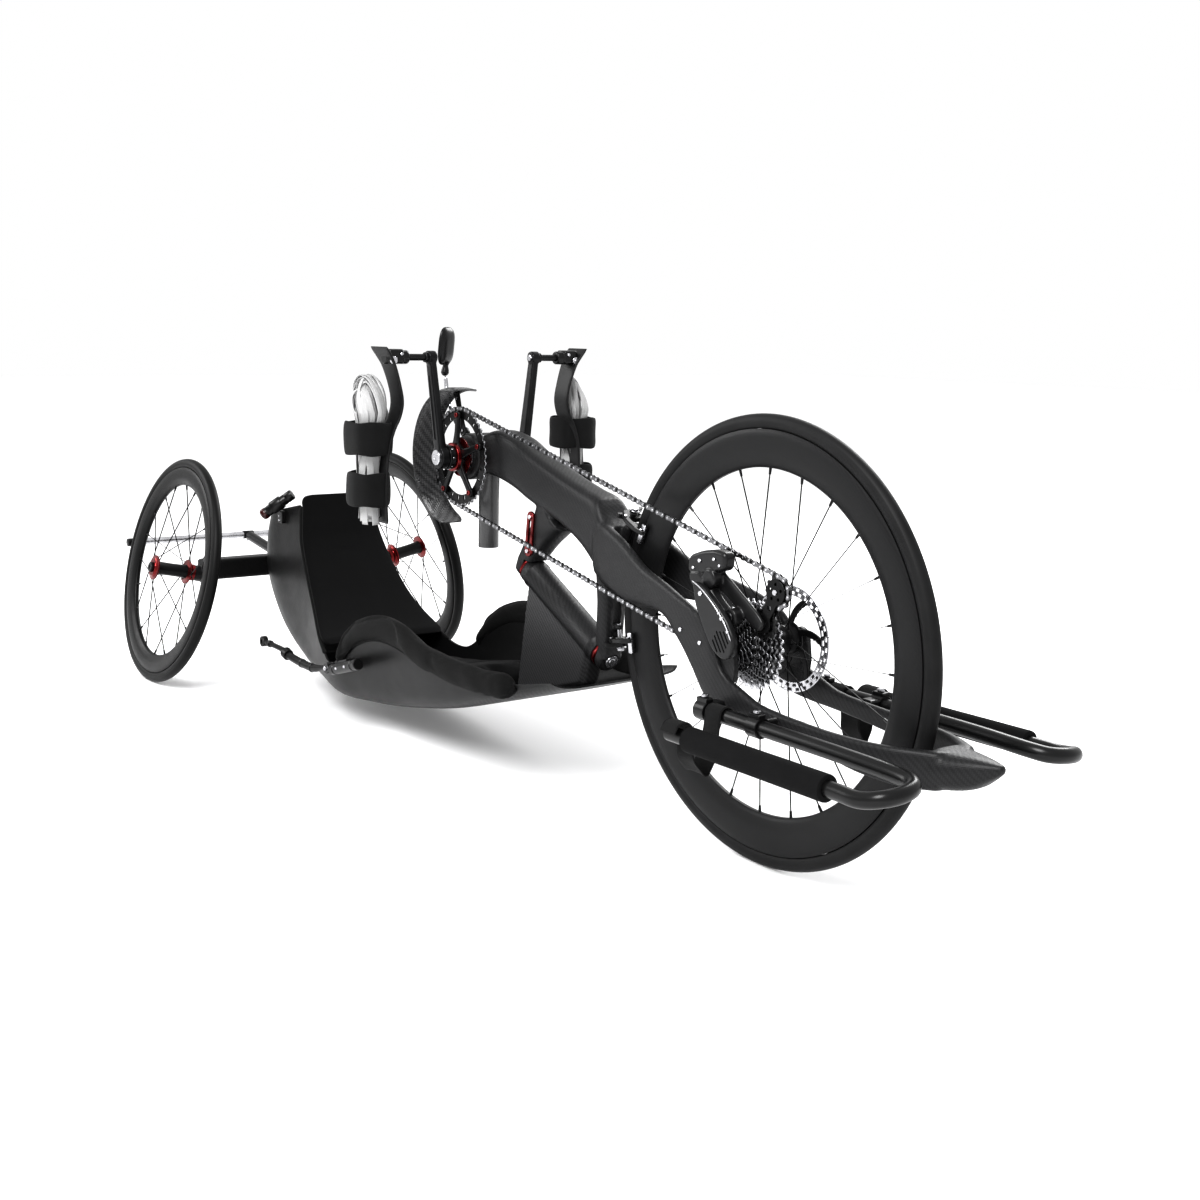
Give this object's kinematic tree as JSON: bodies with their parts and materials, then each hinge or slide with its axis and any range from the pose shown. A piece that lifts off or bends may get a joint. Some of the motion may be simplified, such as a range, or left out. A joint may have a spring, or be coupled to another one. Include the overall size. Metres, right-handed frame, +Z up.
{
  "type": "handcycle",
  "caption": "Low racing handcycle: reclined tub seat, cambered rear wheels, and a hand-cranked, chain-driven, steered front wheel.",
  "frame": {"origin": "on the ground, under the middle of the whole outline", "axes": "+X forward, +Y to the rider's left, +Z up"},
  "size_m": [2.331, 0.7102, 0.7839],
  "materials": {
    "carbon": "matt woven carbon, dark grey",
    "seat_fabric": "black sewn cloth over foam",
    "strap_fabric": "black webbing and padding",
    "foam": "closed-cell foam, dull black",
    "tyre_rubber": "smooth black road tyre",
    "rim_carbon": "satin black deep rim",
    "black_alloy": "black anodised",
    "red_alloy": "red anodised",
    "silver_alloy": "machined silver",
    "steel": "bright steel",
    "lamp_plastic": "dark red lens in a black body",
    "mirror_plastic": "black shell"
  },
  "bodies": {
    "seat": {"tub_shell": "carbon", "steering_mast": "carbon", "backrest_cushion": "seat_fabric", "seat_back_panel": "carbon", "seat_cushion": "seat_fabric", "leg_pad_right": "seat_fabric", "leg_pad_left": "seat_fabric", "upper_bearing": "red_alloy", "lower_bearing": "red_alloy", "rear_axle_beam": "carbon", "rear_axle_right": "steel", "rear_axle_left": "steel", "safety_bar": "carbon", "rear_lamp": "lamp_plastic", "lamp_bracket": "black_alloy", "lever_holder": "black_alloy"},
    "fork": {"fork_shell": "carbon", "steering_bolt": "steel", "steering_link": "red_alloy", "front_axle": "black_alloy", "crank_bearing_right": "silver_alloy", "crank_bearing_left": "silver_alloy", "chain": "steel", "chain_guard": "carbon", "gear_changer": "black_alloy", "changer_cage": "black_alloy", "foot_rest_right": "black_alloy", "foot_rest_left": "black_alloy", "foam_sleeve_right": "foam", "foam_sleeve_left": "foam", "heel_sling_right": "strap_fabric", "heel_sling_left": "strap_fabric", "mirror_stalk": "black_alloy"},
    "front_wheel": {"front_tyre": "tyre_rubber", "front_rim": "rim_carbon", "front_hub": "black_alloy", "brake_rotor": "steel"},
    "cassette": {"cassette": "steel"},
    "crank": {"crank_axle": "silver_alloy", "chainring": "black_alloy", "crank_arm_right": "black_alloy", "crank_arm_left": "black_alloy"},
    "guide_pulley": {"guide_pulley": "black_alloy"},
    "tension_pulley": {"tension_pulley": "black_alloy"},
    "gear_lever": {"gear_lever": "black_alloy"},
    "mirror": {"mirror": "mirror_plastic"},
    "grip_right": {"grip_blade_right": "carbon", "hand_wrap_right": "strap_fabric"},
    "rear_wheel_right": {"rear_tyre_right": "tyre_rubber", "rear_rim_right": "rim_carbon", "rear_hub_right": "red_alloy"},
    "upper_brake_arm_right": {"upper_brake_arm_right": "black_alloy"},
    "lower_brake_arm_right": {"lower_brake_arm_right": "black_alloy"},
    "grip_left": {"grip_blade_left": "carbon", "hand_wrap_left": "strap_fabric"},
    "rear_wheel_left": {"rear_tyre_left": "tyre_rubber", "rear_rim_left": "rim_carbon", "rear_hub_left": "red_alloy"},
    "upper_brake_arm_left": {"upper_brake_arm_left": "black_alloy"},
    "lower_brake_arm_left": {"lower_brake_arm_left": "black_alloy"}
  },
  "joints": [
    {"name": "steering", "type": "hinge", "parent": "seat", "child": "fork", "pos_m": [0.10852, 0, 0.35595], "axis": [-0.891, 0, 0.454], "range_deg": [-20, 20], "stiffness_Nm_per_rad": 40},
    {"name": "front_wheel_spin", "type": "hinge", "parent": "fork", "child": "front_wheel", "pos_m": [0.72352, 0, 0.33394], "axis": [0, 1, 0], "continuous": true},
    {"name": "crank_turn", "type": "hinge", "parent": "fork", "child": "crank", "pos_m": [-0.06548, 0, 0.54695], "axis": [0, 1, 0], "continuous": true},
    {"name": "cassette_spin", "type": "hinge", "parent": "fork", "child": "cassette", "pos_m": [0.72352, 0, 0.33394], "axis": [0, 1, 0], "continuous": true},
    {"name": "guide_pulley_spin", "type": "hinge", "parent": "fork", "child": "guide_pulley", "pos_m": [0.77552, -0.048, 0.37494], "axis": [0, 1, 0], "continuous": true},
    {"name": "tension_pulley_spin", "type": "hinge", "parent": "fork", "child": "tension_pulley", "pos_m": [0.79852, -0.048, 0.42295], "axis": [0, 1, 0], "continuous": true},
    {"name": "gear_lever_tilt", "type": "hinge", "parent": "seat", "child": "gear_lever", "pos_m": [-0.31248, -0.19512, 0.11989], "axis": [0, 1, 0], "range_deg": [-12, 12]},
    {"name": "mirror_swivel", "type": "hinge", "parent": "fork", "child": "mirror", "pos_m": [-0.17148, -0.02, 0.69895], "axis": [0, 0, 1], "range_deg": [-30, 30]},
    {"name": "grip_right_swing", "type": "hinge", "parent": "crank", "child": "grip_right", "pos_m": [-0.06548, -0.175, 0.72894], "axis": [0, 1, 0], "range_deg": [-110, 90]},
    {"name": "rear_wheel_right_spin", "type": "hinge", "parent": "seat", "child": "rear_wheel_right", "pos_m": [-0.89048, -0.29475, 0.24229], "axis": [0, 0.9781, -0.2079], "continuous": true},
    {"name": "grip_left_swing", "type": "hinge", "parent": "crank", "child": "grip_left", "pos_m": [-0.06548, 0.175, 0.72894], "axis": [0, 1, 0], "range_deg": [-110, 90]},
    {"name": "rear_wheel_left_spin", "type": "hinge", "parent": "seat", "child": "rear_wheel_left", "pos_m": [-0.89048, 0.29475, 0.24229], "axis": [0, 0.9781, 0.2079], "continuous": true},
    {"name": "upper_brake_right", "type": "hinge", "parent": "fork", "child": "upper_brake_arm_right", "pos_m": [0.39906, 0, 0.48524], "axis": [0.4226, 0, 0.9063], "range_deg": [0, 1.8], "stiffness_Nm_per_rad": 2},
    {"name": "upper_brake_left", "type": "hinge", "parent": "fork", "child": "upper_brake_arm_left", "pos_m": [0.39906, 0, 0.48524], "axis": [-0.4226, 0, -0.9063], "range_deg": [0, 1.8]},
    {"name": "lower_brake_right", "type": "hinge", "parent": "fork", "child": "lower_brake_arm_right", "pos_m": [0.37096, 0, 0.27178], "axis": [-0.1736, 0, 0.9848], "range_deg": [0, 1.8], "stiffness_Nm_per_rad": 2},
    {"name": "lower_brake_left", "type": "hinge", "parent": "fork", "child": "lower_brake_arm_left", "pos_m": [0.37096, 0, 0.27178], "axis": [0.1736, 0, -0.9848], "range_deg": [0, 1.8]}
  ],
  "couplings": [
    {"joint": "cassette_spin", "follows": "crank_turn", "ratio": 2.5882},
    {"joint": "tension_pulley_spin", "follows": "crank_turn", "ratio": 4},
    {"joint": "guide_pulley_spin", "follows": "crank_turn", "ratio": -4},
    {"joint": "upper_brake_left", "follows": "upper_brake_right", "ratio": 1},
    {"joint": "lower_brake_left", "follows": "lower_brake_right", "ratio": 1}
  ]
}
